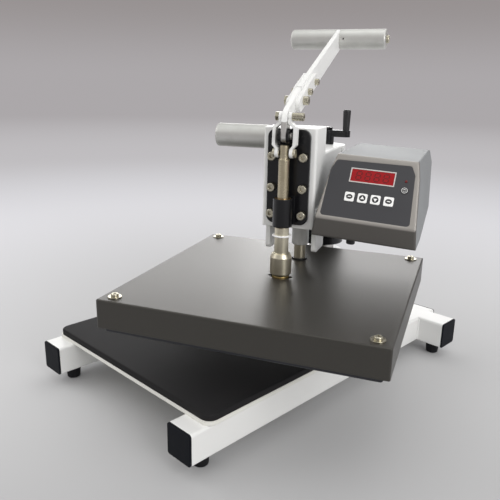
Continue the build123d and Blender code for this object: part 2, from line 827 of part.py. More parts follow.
# Crank: turns the lift screw, which rides in the nut on the spindle
crank_length = 35.0
crank_hub_diameter = 26.0
crank_hub_bottom_z = sleeve_top_z + 0.5
crank_arm_bottom_z = 391.5
crank_arm_top_z = 403.5
crank_grip_place = (crank_length - arm_offset, reach)
crank_grip_height = 37.0
with BuildPart() as crank_arm:
    extrude(
        discs(level.offset(crank_hub_bottom_z), [swing_axis_place], crank_hub_diameter),
        amount=crank_arm_top_z - crank_hub_bottom_z,
    )
    with BuildSketch(level.offset(crank_arm_bottom_z)):
        with Locations((crank_length / 2 - arm_offset, reach)):
            SlotCenterToCenter(crank_length, 16)
    extrude(amount=crank_arm_top_z - crank_arm_bottom_z)
    top_face = faces().sort_by(Axis.Z)[-1]
    chamfer(top_face.edges(), 0.8)
    extrude(
        discs(level.offset(crank_hub_bottom_z), [swing_axis_place], lift_screw_diameter),
        amount=crank_arm_top_z - crank_hub_bottom_z,
        mode=Mode.SUBTRACT,
    )
    extrude(
        discs(level.offset(crank_arm_bottom_z), [crank_grip_place], 6),
        amount=crank_arm_top_z - crank_arm_bottom_z,
        mode=Mode.SUBTRACT,
    )
crank_arm.part.label = "crank_arm"
export_step(crank_arm.part, "parts/crank_arm.step")

with BuildPart() as crank_grip:
    grip_middle = level.offset(crank_arm_top_z + crank_grip_height / 2).location
    with Locations(grip_middle * Location(crank_grip_place)):
        Cone(bottom_radius=6.0, top_radius=7.2, height=crank_grip_height)
    fillet(edges().filter_by(GeomType.CIRCLE).sort_by(Axis.Z)[-1], 3)
    extrude(
        discs(level.offset(crank_arm_top_z), [crank_grip_place], 6),
        amount=crank_arm_bottom_z - crank_arm_top_z,
    )
crank_grip.part.label = "crank_grip"
export_step(crank_grip.part, "parts/crank_grip.step")

with BuildPart() as crank_nut:
    hexagon_nuts(level.offset(crank_arm_top_z), [swing_axis_place], across_flats=17, height=4.5, hole=10)
crank_nut.part.label = "crank_nut"
export_step(crank_nut.part, "parts/crank_nut.step")

lift_screw_bottom_z = 290.0
with BuildPart() as lift_screw:
    extrude(
        discs(level.offset(lift_screw_bottom_z), [swing_axis_place], lift_screw_diameter),
        amount=crank_arm_top_z - lift_screw_bottom_z,
    )
    extrude(discs(level.offset(crank_arm_top_z), [swing_axis_place], 10), amount=5.5)
lift_screw.part.label = "lift_screw"
export_step(lift_screw.part, "parts/lift_screw.step")

# Crank bar: the lower end of the lever, bent back from the fulcrum to the blade
large_screw_place = (55.0, 461.0)
small_screw_places = [(80.0, 473.5), (117.0, 488.0)]
with BuildPart() as lever_crank_bar:
    with BuildSketch(side.offset(-bar_half)):
        with BuildLine():
            front_edge = Spline(
                (-9, fulcrum_z),
                (-8, 430),
                (-5.5, 441),
                (0, 449),
                (12, 455.5),
                (36, 468),
                (62, 480),
            )
            rear_edge = Spline(
                (67, 458),
                (43, 448),
                (21, 438),
                (11, 427),
                (9, fulcrum_z),
            )
            Line(front_edge @ 1, rear_edge @ 0)
            Line(rear_edge @ 1, front_edge @ 0)
        make_face()
        with Locations((fulcrum_y, fulcrum_z)):
            Circle(9)
        with Locations((fulcrum_y, fulcrum_z)):
            Circle(pin_diameter / 2 + 0.05, mode=Mode.SUBTRACT)
        with Locations((link_top_y, link_top_z)):
            Circle(bar_half, mode=Mode.SUBTRACT)
        with Locations(large_screw_place):
            Circle(bar_half, mode=Mode.SUBTRACT)
    extrude(amount=2 * bar_half)
lever_crank_bar.part.label = "lever_crank_bar"
export_step(lever_crank_bar.part, "parts/lever_crank_bar.step")

# Lever blade: a flat bar up to the tee grips, with a round end
blade_length = 263.0
blade_angle = math.degrees(math.atan2(tee_z - 464, tee_y - 62))
with BuildPart() as lever_blade:
    with BuildSketch(side.offset(-bar_half)):
        with Locations(Location((tee_y, tee_z), blade_angle)):
            with Locations((-blade_length / 2, 0)):
                Rectangle(blade_length, blade_width)
            Circle(17)
        with Locations((tee_y, tee_z)):
            Circle(5.1, mode=Mode.SUBTRACT)
        with Locations(*small_screw_places):
            Circle(3, mode=Mode.SUBTRACT)
    extrude(amount=2 * bar_half)
lever_blade.part.label = "lever_blade"
export_step(lever_blade.part, "parts/lever_blade.step")

# Fish plates: two cranked strips that clamp the bar and the blade between them
fish_outside = 10.5
fish_width = 20.0
with BuildPart() as fish_plates:
    for plate_side in (-1, 1):
        with BuildSketch(side.offset(plate_side * bar_half)):
            with BuildLine():
                Polyline((41, 455), (62, 463.5), (80, 473.5), (124, 491))
                offset(amount=fish_width / 2)
            make_face()
            with Locations(large_screw_place):
                Circle(bar_half, mode=Mode.SUBTRACT)
            with Locations(*small_screw_places):
                Circle(3, mode=Mode.SUBTRACT)
        extrude(amount=plate_side * (fish_outside - bar_half))
fish_plates.part.label = "fish_plates"
export_step(fish_plates.part, "parts/fish_plates.step")

# Lever screws: one large and two small, with their heads on the right and their nuts on the left
with BuildPart() as lever_screws:
    for places, head, shank in (([large_screw_place], 13, 8), (small_screw_places, 10, 6)):
        socket_screws(
            side.offset(fish_outside),
            places,
            head=head,
            head_height=shank,
            shank=shank,
            shank_length=2 * fish_outside + shank,
        )
lever_screws.part.label = "lever_screws"
export_step(lever_screws.part, "parts/lever_screws.step")

left_side = Plane(origin=ram_foot, x_dir=-arm_back, z_dir=-arm_right)
with BuildPart() as lever_nuts:
    hexagon_nuts(
        left_side.offset(fish_outside),
        [(-large_screw_place[0], large_screw_place[1])],
        across_flats=13,
        height=8,
        hole=8,
    )
    hexagon_nuts(
        left_side.offset(fish_outside),
        [(-y, z) for y, z in small_screw_places],
        across_flats=10,
        height=5,
        hole=6,
    )
lever_nuts.part.label = "lever_nuts"
export_step(lever_nuts.part, "parts/lever_nuts.step")

# Link bolt: joins the bar to the two links, with a long head on the right
link_thickness = 5.0
link_top_inside = 4.5
link_top_outside = link_top_inside + link_thickness
with BuildPart() as link_bolt:
    socket_screws(
        side.offset(link_top_outside + 1.5),
        [(link_top_y, link_top_z)],
        head=11.5,
        head_height=15.5,
        shank=8,
        shank_length=26.5,
    )
    extrude(discs(side.offset(link_top_outside), [(link_top_y, link_top_z)], 10.5), amount=1.5)
link_bolt.part.label = "link_bolt"
export_step(link_bolt.part, "parts/link_bolt.step")

with BuildPart() as link_bolt_nut:
    hexagon_nuts(
        left_side.offset(link_top_outside + 0.5),
        [(-link_top_y, link_top_z)],
        across_flats=12,
        height=5,
        hole=8,
    )
link_bolt_nut.part.label = "link_bolt_nut"
export_step(link_bolt_nut.part, "parts/link_bolt_nut.step")

# Tee handle: two grips on one long bolt with a domed end
tee_half = 87.6
tee_diameter = 35.0
grip_inside = bar_half + 0.1
with BuildPart() as tee_grips:
    for grip_side in (-1, 1):
        extrude(
            discs(side.offset(grip_side * grip_inside), [(tee_y, tee_z)], tee_diameter),
            amount=grip_side * (tee_half - grip_inside),
        )
    outer_rims = edges().filter_by(
        lambda edge: abs(side.to_local_coords(edge.center()).Z) > tee_half - 0.1
    )
    fillet(outer_rims, 3.5)
    extrude(
        discs(side.offset(-tee_half), [(tee_y, tee_z)], 10),
        amount=2 * tee_half,
        mode=Mode.SUBTRACT,
    )
    # The hole of the pin that locks the right grip to the bolt
    extrude(discs(front.offset(-tee_y), [(12, tee_z)], 3.2), amount=tee_diameter, mode=Mode.SUBTRACT)
tee_grips.part.label = "tee_grips"
export_step(tee_grips.part, "parts/tee_grips.step")

with BuildPart() as tee_rod:
    extrude(discs(side.offset(-tee_half), [(tee_y, tee_z)], 10), amount=2 * tee_half)
    extrude(discs(side.offset(tee_half), [(tee_y, tee_z)], 14), amount=5)
    far_rim = edges().filter_by(
        lambda edge: abs(side.to_local_coords(edge.center()).Z - tee_half - 5) < 0.1
    )
    fillet(far_rim, 3)
tee_rod.part.label = "tee_rod"
export_step(tee_rod.part, "parts/tee_rod.step")

# Toggle links: two bars bowed outwards, so that they pass outside the fulcrum ears
link_width = 12.0
link_bow_inside = 13.0
link_bottom_inside = 8.5
link_eye = 7.0
link_bottom_outside = link_bottom_inside + link_thickness
with BuildPart() as toggle_links:
    for link_side in (-1, 1):
        with BuildSketch(front.offset(link_eye + link_top_y)):
            with BuildLine():
                Polyline(
                    (link_side * link_top_inside, link_top_z + link_eye),
                    (link_side * link_top_inside, 430.5),
                    (link_side * link_bow_inside, 424),
                    (link_side * link_bow_inside, 400),
                    (link_side * link_bottom_inside, 394),
                    (link_side * link_bottom_inside, link_bottom_z - link_eye),
                    (link_side * link_bottom_outside, link_bottom_z - link_eye),
                    (link_side * link_bottom_outside, 395),
                    (link_side * (link_bow_inside + link_thickness), 400),
                    (link_side * (link_bow_inside + link_thickness), 425.5),
                    (link_side * link_top_outside, 432),
                    (link_side * link_top_outside, link_top_z + link_eye),
                    close=True,
                )
            make_face()
            bends = vertices().filter_by(lambda corner: 392 < corner.Z < 437)
            fillet(bends, 1.2)
        extrude(amount=-2 * (link_eye + link_top_y))
    # Trim the bars to a rounded outline in the side view, and open their eyes
    with BuildSketch(side.offset(-20)):
        with BuildLine():
            Line((link_top_y, link_top_z), (0, link_bottom_z))
            offset(amount=link_width / 2)
        make_face()
        with Locations((link_top_y, link_top_z)):
            Circle(link_eye)
            Circle(4.05, mode=Mode.SUBTRACT)
        with Locations((0, link_bottom_z)):
            Circle(link_eye)
    extrude(amount=40, mode=Mode.INTERSECT)
    extrude(discs(side.offset(-20), [(0, link_bottom_z)], 8), amount=40, mode=Mode.SUBTRACT)
toggle_links.part.label = "toggle_links"
export_step(toggle_links.part, "parts/toggle_links.step")

# Link pins: one in the lower eye of each link, with a broad head
with BuildPart() as link_pins:
    for link_side in (-1, 1):
        extrude(
            discs(side.offset(link_side * (link_bottom_inside - 0.8)), [(0, link_bottom_z)], 8),
            amount=link_side * (link_thickness + 0.8),
        )
        extrude(
            discs(side.offset(link_side * link_bottom_outside), [(0, link_bottom_z)], 12.5),
            amount=link_side * 3.5,
        )
link_pins.part.label = "link_pins"
export_step(link_pins.part, "parts/link_pins.step")

# Ram: the round shaft that the links push down
ram_top_z = 400.0
ram_neck_z = 381.0
ram_neck_diameter = 13.4
coupling_foot_z = 203.0
coupling_shoulder_z = 239.0
coupling_top_z = boss_bottom_z - 0.7
coupling_neck_diameter = 21.4
ram_bottom_z = coupling_foot_z + 2
brass_bottom_z = 199.0
with BuildPart() as ram_shaft:
    extrude(
        discs(level.offset(ram_bottom_z), [(0, 0)], ram_diameter),
        amount=ram_neck_z - ram_bottom_z,
    )
    chamfer(edges().filter_by(GeomType.CIRCLE).group_by(Axis.Z)[-1], 1.4)
    extrude(discs(level.offset(ram_neck_z), [(0, 0)], ram_neck_diameter), amount=ram_top_z - ram_neck_z)
    chamfer(edges().filter_by(GeomType.CIRCLE).group_by(Axis.Z)[-1], 0.8)
ram_shaft.part.label = "ram_shaft"
export_step(ram_shaft.part, "parts/ram_shaft.step")

stop_ring_z = 264.5
stop_ring_height = 2.6
with BuildPart() as stop_ring:
    extrude(discs(level.offset(stop_ring_z), [(0, 0)], 28.5), amount=stop_ring_height)
    fillet(edges().filter_by(GeomType.CIRCLE), 1)
    extrude(
        discs(level.offset(stop_ring_z), [(0, 0)], coupling_neck_diameter),
        amount=stop_ring_height,
        mode=Mode.SUBTRACT,
    )
stop_ring.part.label = "stop_ring"
export_step(stop_ring.part, "parts/stop_ring.step")

# Coupling: a turned sleeve with a long neck on the foot of the ram, over a brass seat
coupling_radius = 16.4
with BuildPart() as coupling:
    with BuildSketch(side):
        with BuildLine():
            Polyline(
                (0, coupling_foot_z),
                (12.4, coupling_foot_z),
                (coupling_radius, 207),
                (coupling_radius, 232.5),
                (13.6, coupling_shoulder_z - 0.6),
                (coupling_neck_diameter / 2, coupling_shoulder_z),
                (coupling_neck_diameter / 2, coupling_top_z - 1),
                (coupling_neck_diameter / 2 - 1, coupling_top_z),
                (0, coupling_top_z),
                close=True,
            )
        make_face()
    revolve(axis=Axis(tuple(ram_foot), (0, 0, 1)))
    extrude(
        discs(level.offset(ram_bottom_z), [(0, 0)], ram_diameter),
        amount=coupling_top_z - coupling_foot_z,
        mode=Mode.SUBTRACT,
    )
coupling.part.label = "coupling"
export_step(coupling.part, "parts/coupling.step")

seat_diameter = 25.0
with BuildPart() as coupling_seat:
    extrude(
        discs(level.offset(brass_bottom_z), [(0, 0)], seat_diameter),
        amount=coupling_foot_z - brass_bottom_z,
    )
coupling_seat.part.label = "coupling_seat"
export_step(coupling_seat.part, "parts/coupling_seat.step")

# Guide rod and its grommet in the cover
guide_rod_top_z = 340.0
with BuildPart() as guide_rod:
    extrude(
        discs(level.offset(platen_top_z), [(0, guide_rod_y)], guide_rod_diameter),
        amount=guide_rod_top_z - platen_top_z,
    )
    chamfer(edges().filter_by(GeomType.CIRCLE).sort_by(Axis.Z)[-1], 1)
guide_rod.part.label = "guide_rod"
export_step(guide_rod.part, "parts/guide_rod.step")

grommet_outside = 23.0
with BuildPart() as guide_rod_grommet:
    extrude(
        discs(level.offset(cover_top_z - cover_sheet), [(0, guide_rod_y)], grommet_outside),
        amount=cover_sheet,
    )
    extrude(discs(level.offset(cover_top_z), [(0, guide_rod_y)], grommet_outside + 3), amount=2.5)
    extrude(
        discs(level.offset(cover_top_z - cover_sheet), [(0, guide_rod_y)], guide_rod_diameter),
        amount=cover_sheet + 3,
        mode=Mode.SUBTRACT,
    )
guide_rod_grommet.part.label = "guide_rod_grommet"
export_step(guide_rod_grommet.part, "parts/guide_rod_grommet.step")

# Head cover: a folded sheet over the hot platen, open underneath
seat_hole = 28.0
seat_slot_length = 38.0
seat_slot_width = 10.0
post_diameter = 12.0
cover_corner = 2.6
cover_screw_places = [
    (x, y) for x in (-cover_screw_x, cover_screw_x) for y in (-cover_screw_y, cover_screw_y)
]
with BuildPart() as head_cover:
    with BuildSketch(head_level.offset(cover_bottom_z)):
        RectangleRounded(cover_width, cover_depth, cover_corner)
    extrude(amount=cover_top_z - cover_bottom_z)
    fillet(faces().sort_by(Axis.Z)[-1].edges(), 2.2)
    with BuildSketch(head_level.offset(cover_bottom_z)):
        Rectangle(cover_width - 2 * cover_sheet, cover_depth - 2 * cover_sheet)
    extrude(amount=cover_top_z - cover_bottom_z - cover_sheet, mode=Mode.SUBTRACT)
    with BuildSketch(level.offset(cover_top_z)):
        Circle(seat_hole / 2)
        SlotOverall(seat_slot_length, seat_slot_width)
        with Locations((0, guide_rod_y)):
            Circle(grommet_outside / 2)
    extrude(amount=-2 * cover_sheet, mode=Mode.SUBTRACT)
    extrude(
        discs(head_level.offset(cover_top_z), cover_screw_places, 6.4),
        amount=-2 * cover_sheet,
        mode=Mode.SUBTRACT,
    )
head_cover.part.label = "head_cover"
export_step(head_cover.part, "parts/head_cover.step")

# Cover screws with their washers, on four posts that stand on the platen
washer_thickness = 1.5
with BuildPart() as cover_screws:
    extrude(discs(head_level.offset(cover_top_z), cover_screw_places, 19), amount=washer_thickness)
    extrude(discs(head_level.offset(cover_top_z + washer_thickness), cover_screw_places, 11), amount=4)
    fillet(edges().filter_by(GeomType.CIRCLE).group_by(Axis.Z)[-1], 2)
    extrude(discs(head_level.offset(cover_top_z), cover_screw_places, 6), amount=-12)
    with BuildSketch(head_level.offset(cover_top_z + washer_thickness + 4)):
        with Locations(*cover_screw_places):
            RegularPolygon(2.4, 6)
    extrude(amount=-2.5, mode=Mode.SUBTRACT)
cover_screws.part.label = "cover_screws"
export_step(cover_screws.part, "parts/cover_screws.step")

post_height = cover_top_z - cover_sheet - platen_top_z
with BuildPart() as cover_posts:
    extrude(discs(head_level.offset(platen_top_z), cover_screw_places, post_diameter), amount=post_height)
    extrude(
        discs(head_level.offset(platen_top_z + post_height), cover_screw_places, 6),
        amount=-12,
        mode=Mode.SUBTRACT,
    )
cover_posts.part.label = "cover_posts"
export_step(cover_posts.part, "parts/cover_posts.step")

# Insulation: a soft board on top of the platen, cut out around the seat and the guide rod
insulation_size = 330.0
insulation_thickness = 14.5
with BuildPart() as insulation:
    with BuildSketch(level.offset(platen_top_z)):
        with Locations((-arm_offset, 0)):
            Rectangle(insulation_size, insulation_size)
        Circle(seat_hole / 2, mode=Mode.SUBTRACT)
        with Locations((0, guide_rod_y)):
            Circle(guide_rod_diameter / 2 + 1.5, mode=Mode.SUBTRACT)
    extrude(amount=insulation_thickness)
insulation.part.label = "insulation"
export_step(insulation.part, "parts/insulation.step")

# Heat platen: a thick aluminium plate with the seat boss in the middle
with BuildPart() as heat_platen:
    with BuildSketch(head_level.offset(platen_bottom_z)):
        RectangleRounded(heated_size, heated_size, 3)
    extrude(amount=platen_thickness)
    chamfer(faces().sort_by(Axis.Z)[0].edges(), 1)
    extrude(
        discs(level.offset(platen_top_z), [(0, 0)], seat_diameter),
        amount=brass_bottom_z - platen_top_z,
    )
heat_platen.part.label = "heat_platen"
export_step(heat_platen.part, "parts/heat_platen.step")
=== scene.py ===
import math
import bpy
import bmesh
from mathutils import Matrix, Vector


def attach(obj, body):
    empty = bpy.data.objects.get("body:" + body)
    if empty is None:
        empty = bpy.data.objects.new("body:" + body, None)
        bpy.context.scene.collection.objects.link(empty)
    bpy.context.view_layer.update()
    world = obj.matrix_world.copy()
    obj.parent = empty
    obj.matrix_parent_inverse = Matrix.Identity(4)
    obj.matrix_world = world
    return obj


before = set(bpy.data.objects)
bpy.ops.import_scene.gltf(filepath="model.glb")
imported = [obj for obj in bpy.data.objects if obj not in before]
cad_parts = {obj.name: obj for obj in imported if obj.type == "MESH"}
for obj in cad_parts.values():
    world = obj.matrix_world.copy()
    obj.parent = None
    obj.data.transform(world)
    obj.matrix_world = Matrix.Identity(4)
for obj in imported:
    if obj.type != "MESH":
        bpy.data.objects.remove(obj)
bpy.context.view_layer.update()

# Camera: stands to the front right of the press, a little above it, and looks
# down on the head. Its place was found by matching the corners of the cover, the
# tubes and the feet with the photograph.
camera_place = (0.61068, -0.69543, 0.48771)
camera_yaw = 0.77732
camera_pitch = 0.28134
camera_roll = 0.018116
lens = bpy.data.cameras.new("camera")
lens.sensor_width = 36.0
lens.lens = 42.108
lens.clip_end = 60.0
camera = bpy.data.objects.new("camera", lens)
camera.matrix_world = (
    Matrix.Translation(camera_place)
    @ Matrix.Rotation(camera_yaw, 4, "Z")
    @ Matrix.Rotation(math.pi / 2 - camera_pitch, 4, "X")
    @ Matrix.Rotation(camera_roll, 4, "Z")
)
bpy.context.scene.collection.objects.link(camera)
bpy.context.scene.camera = camera
bpy.context.scene.view_settings.view_transform = "Standard"


class Wire:
    """An output of a shader node that can take part in a sum."""

    def __init__(self, finish, socket):
        self.finish = finish
        self.socket = socket

    def reckon(self, operation, left, right):
        settings = {"operation": operation}
        return self.finish.node("ShaderNodeMath", settings, {0: left, 1: right})["Value"]

    def __add__(self, other):
        return self.reckon("ADD", self, other)

    def __radd__(self, other):
        return self.reckon("ADD", other, self)

    def __sub__(self, other):
        return self.reckon("SUBTRACT", self, other)

    def __rsub__(self, other):
        return self.reckon("SUBTRACT", other, self)

    def __mul__(self, other):
        return self.reckon("MULTIPLY", self, other)

    def __rmul__(self, other):
        return self.reckon("MULTIPLY", other, self)


class Finish:
    """A material whose nodes are written as expressions."""

    def __init__(self, name, owner=None):
        self.owner = owner or bpy.data.materials.new(name)
        self.owner.use_nodes = True
        self.tree = self.owner.node_tree
        self.tree.nodes.clear()
        self.place = None

    def node(self, kind, settings=None, inputs=None):
        made = self.tree.nodes.new(kind)
        for setting, value in (settings or {}).items():
            setattr(made, setting, value)
        sockets = [socket for socket in made.inputs if socket.enabled]
        for key, value in (inputs or {}).items():
            if isinstance(key, int):
                socket = sockets[key]
            else:
                socket = next(socket for socket in sockets if socket.name == key)
            if isinstance(value, Wire):
                self.tree.links.new(value.socket, socket)
            elif socket.type == "RGBA":
                socket.default_value = (*value[:3], 1.0)
            else:
                socket.default_value = value
        return {output.name: Wire(self, output) for output in made.outputs if output.enabled}

    def spot(self):
        """The place of the shaded point on the press, in metres."""
        if self.place is None:
            self.place = self.node("ShaderNodeTexCoord")["Object"]
        return self.place

    def along(self, direction):
        """How far the shaded point lies along a direction."""
        return self.dot(self.spot(), tuple(direction))

    def dot(self, first, second):
        """The product of two directions: 1 where they agree, 0 where they are square."""
        settings = {"operation": "DOT_PRODUCT"}
        return self.node("ShaderNodeVectorMath", settings, {0: first, 1: second})["Value"]

    def facing(self):
        """The direction that the shaded face looks in."""
        return self.node("ShaderNodeNewGeometry")["Normal"]

    def blend(self, mask, first, second):
        """The first colour where the mask is 0, and the second where it is 1."""
        settings = {"data_type": "RGBA", "clamp_factor": True}
        inputs = {"Factor": mask, "A": first, "B": second}
        return self.node("ShaderNodeMix", settings, inputs)["Result"]

    def band(self, value, low, high, start=0.0, end=1.0):
        """A smooth step of a value between low and high."""
        settings = {"interpolation_type": "SMOOTHSTEP"}
        inputs = {"Value": value, "From Min": low, "From Max": high, "To Min": start, "To Max": end}
        return self.node("ShaderNodeMapRange", settings, inputs)["Result"]

    def grain(self, scale, detail=2.0, vector=None):
        """Cloudy noise from 0 to 1 with so many lumps in a metre."""
        inputs = {"Vector": vector or self.spot(), "Scale": scale, "Detail": detail}
        return self.node("ShaderNodeTexNoise", None, inputs)["Fac"]

    def surface(self, **inputs):
        """Close the material with a shader that has these inputs."""
        named = {key.replace("_", " "): value for key, value in inputs.items()}
        shader = self.node("ShaderNodeBsdfPrincipled", None, named)["BSDF"]
        self.node("ShaderNodeOutputMaterial", None, {"Surface": shader})


# Floor and light: a pale table under soft studio light. Its colour is painted darker
# near the press and towards the camera: painted shade.
# Far out it fades into a plain backdrop, which is lightest behind the press and
# greyer above. Metal and glass see the same backdrop as the camera.
backdrop_low = (0.41, 0.39, 0.40)
backdrop_high = (0.31, 0.285, 0.285)
backdrop_top = (0.60, 0.60, 0.60)
glow_near = (0.66, 0.655, 0.69)
glow_middle = (0.53, 0.515, 0.53)
table_near = (0.53, 0.53, 0.535)
table_far = (0.70, 0.70, 0.73)
table_front_shade = 0.56
table_radius = 9.0
rim = 96
table_mesh = bpy.data.meshes.new("table")
table_rings = [0.25, 0.6, 1.2, 2.5, 5.0, table_radius]
table_points = [(0.0, 0.0, 0.0)]
for ring_radius in table_rings:
    for step in range(rim):
        turn = 2 * math.pi * step / rim
        table_points.append((ring_radius * math.cos(turn), ring_radius * math.sin(turn), 0.0))
table_faces = [(0, 1 + step, 1 + (step + 1) % rim) for step in range(rim)]
for ring in range(len(table_rings) - 1):
    for step in range(rim):
        inner = 1 + ring * rim
        outer = inner + rim
        after = (step + 1) % rim
        table_faces.append((inner + step, outer + step, outer + after, inner + after))
table_mesh.from_pydata(table_points, [], table_faces)
table = bpy.data.objects.new("table", table_mesh)
bpy.context.scene.collection.objects.link(table)
table_finish = Finish("table_finish")
distance = table_finish.node(
    "ShaderNodeVectorMath", {"operation": "LENGTH"}, {0: table_finish.spot()}
)["Value"]
fade = table_finish.band(distance, 0.9, 3.2)
# Painted shade: the table is painted darker near the press and paler far out.
table_shade = table_finish.blend(table_finish.band(distance, 0.2, 1.6), table_near, table_far)
towards_camera = (0.70, -0.71, 0.0)
forward = table_finish.along(towards_camera)
# Painted shade: the table's colour is darkened towards the camera.
dimming = table_finish.band(forward, 0.05, 0.75, 1.0, table_front_shade)
fleck_and_shade = (table_finish.grain(900.0) * 0.03 + 0.985) * dimming
lit_shade = table_finish.node(
    "ShaderNodeVectorMath", {"operation": "SCALE"}, {"Vector": table_shade, "Scale": fleck_and_shade}
)["Vector"]
matt = table_finish.node("ShaderNodeBsdfDiffuse", None, {"Color": lit_shade})["BSDF"]
glow_shade = table_finish.blend(table_finish.band(distance, 1.0, 3.0), glow_near, glow_middle)
glow_shade = table_finish.blend(table_finish.band(distance, 2.6, 8.0), glow_shade, backdrop_low)
glow_inputs = {"Color": glow_shade, "Strength": 1.0}
glow = table_finish.node("ShaderNodeEmission", None, glow_inputs)["Emission"]
mixed = table_finish.node("ShaderNodeMixShader", None, {0: fade, 1: matt, 2: glow})["Shader"]
table_finish.node("ShaderNodeOutputMaterial", None, {"Surface": mixed})
table.data.materials.append(table_finish.owner)

world = bpy.data.worlds.new("studio")
bpy.context.scene.world = world
air = Finish("air", world)
sky = air.node("ShaderNodeTexCoord")["Generated"]
height = air.node("ShaderNodeSeparateXYZ", None, {0: sky})["Z"]
backdrop = air.blend(air.band(height, 0.0, 0.13), backdrop_low, backdrop_high)
backdrop = air.blend(air.band(height, 0.22, 0.8), backdrop, backdrop_top)
path = air.node("ShaderNodeLightPath")
seen = path["Is Camera Ray"]
for ray in ("Is Glossy Ray", "Is Transmission Ray"):
    seen = air.node("ShaderNodeMath", {"operation": "MAXIMUM"}, {0: seen, 1: path[ray]})["Value"]
daylight = (1.0, 0.99, 0.98)
daylight_level = 0.86
showing = air.node("ShaderNodeBackground", None, {"Color": backdrop, "Strength": 1.0})["Background"]
lighting = air.node(
    "ShaderNodeBackground", None, {"Color": daylight, "Strength": daylight_level}
)["Background"]
studio_air = air.node("ShaderNodeMixShader", None, {0: seen, 1: lighting, 2: showing})["Shader"]
air.node("ShaderNodeOutputWorld", None, {"Surface": studio_air})


def lamp(name, place, target, width, depth, power, sheen_only=False):
    """Hang a soft box that looks at a target. One for sheen shows only in gloss."""
    light = bpy.data.lights.new(name, "AREA")
    light.shape = "RECTANGLE"
    light.size = width
    light.size_y = depth
    light.energy = power
    holder = bpy.data.objects.new(name, light)
    aim = Vector(target) - Vector(place)
    holder.rotation_euler = aim.to_track_quat("-Z", "Y").to_euler()
    holder.location = place
    holder.visible_camera = False
    holder.visible_diffuse = not sheen_only
    bpy.context.scene.collection.objects.link(holder)


press_middle = (0.0, 0.0, 0.2)
left_of_middle = (-0.1, 0.0, 0.2)
lamp("soft_box_left", (-1.5, -1.3, 1.7), press_middle, width=1.6, depth=1.2, power=10.5)
lamp("soft_box_top", (0.1, 0.3, 2.3), press_middle, width=1.8, depth=1.8, power=8.0)
lamp("soft_box_right", (1.9, -0.4, 1.1), (0.0, 0.0, 0.25), width=1.0, depth=1.4, power=17.0)
lamp("sheen_box_left", (-2.3, 1.4, 0.95), left_of_middle, 1.7, 1.1, 18.0, sheen_only=True)
lamp("sheen_box_back", (-1.45, 2.35, 1.2), press_middle, 1.4, 1.2, 19.0, sheen_only=True)


def dress(finish, *nodes):
    """Give the nodes of the press a finish."""
    for node in nodes:
        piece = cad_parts[node]
        piece.data.materials.clear()
        piece.data.materials.append(finish.owner)


# Base frame: two long square steel tubes with a middle and a rear cross tube, cut,
# welded and powder coated white. The coat has a fine orange peel and is thin over
# the tube corners. Its darker edge colour is also painted shade in the creases where
# the tubes meet.
white_coat = (0.80, 0.80, 0.785)
white_shadow = (0.70, 0.70, 0.69)


def rounded(finish, radius):
    """The surface direction with its sharp edges eased, and a mask of those edges."""
    soft = finish.node("ShaderNodeBevel", {"samples": 6}, {"Radius": radius})["Normal"]
    return soft, finish.band(1 - finish.dot(soft, finish.facing()), 0.01, 0.22)


def bumped(finish, height, depth, soft, strength=1.0):
    """Raise the surface by a height of 0 to 1 times a depth in metres."""
    inputs = {"Strength": strength, "Distance": depth, "Height": height, "Normal": soft}
    return finish.node("ShaderNodeBump", None, inputs)["Normal"]


def powder_coat(name, shade, edge_crease_shade, gloss, peel_depth, shine=0.5):
    """Powder coat with an orange peel, a little uneven, thinner on the edges, with painted shade in
    the creases where its edge colour is darker.
    """
    coat = Finish(name)
    soft, edge = rounded(coat, 0.0014)
    cloud = coat.grain(14.0, 3.0)
    peel = coat.grain(620.0, 1.5)
    # Where the edge colour is darker, as on the white and cream coats, it is thin coat on the edges
    # and painted shade in the creases.
    thin_coat_and_shade = edge * (0.35 + cloud * 0.5)
    even = coat.blend(coat.band(cloud, 0.3, 0.75), shade, [part * 0.965 for part in shade])
    tone = coat.blend(thin_coat_and_shade, even, edge_crease_shade)
    coat.surface(
        Base_Color=tone,
        Roughness=gloss + cloud * 0.1 + edge * 0.05,
        Specular_IOR_Level=shine,
        Normal=bumped(coat, peel, peel_depth, soft),
    )
    return coat


white_finish = powder_coat(
    "white_powder_coat", white_coat, white_shadow, gloss=0.3, peel_depth=0.00006
)
dress(white_finish, "base_frame")


# Weld beads: small ribbed fillets where the tubes of the frame meet, laid by hand
# before the coat and covered by it.
column_x = -65.19
column_y = 190.28
bead_sides = 8
nearly_upright = 0.9
millimetre = 0.001
upright = Vector((0.0, 0.0, 1.0))


def bead(name, points, radius, closed, body, finish):
    """Lay a ribbed bead of a radius in millimetres along points in millimetres."""
    path = [Vector(point) for point in points]
    rings = []
    count = len(path)
    mesh = bmesh.new()
    for index, point in enumerate(path):
        before = path[(index - 1) % count] if closed or index else path[index]
        beyond = path[(index + 1) % count] if closed or index < count - 1 else path[index]
        ahead = (beyond - before).normalized()
        side = ahead.orthogonal() if abs(ahead.z) > nearly_upright else ahead.cross(upright)
        side = side.normalized()
        over = ahead.cross(side)
        swell = radius * (1 + 0.1 * math.sin(index * 1.9) + 0.04 * math.sin(index * 0.7))
        ring = []
        for step in range(bead_sides):
            turn = 2 * math.pi * step / bead_sides
            spoke = side * math.cos(turn) + over * math.sin(turn)
            ring.append(mesh.verts.new((point + spoke * swell) * millimetre))
        rings.append(ring)
    pairs = zip(rings, rings[1:] + rings[:1]) if closed else zip(rings, rings[1:])
    for first, second in pairs:
        for step in range(bead_sides):
            after = (step + 1) % bead_sides
            mesh.faces.new((first[step], second[step], second[after], first[after]))
    if not closed:
        mesh.faces.new(rings[0])
        mesh.faces.new(list(reversed(rings[-1])))
    bmesh.ops.recalc_face_normals(mesh, faces=mesh.faces)
    return piece_from(name, mesh, body, finish)


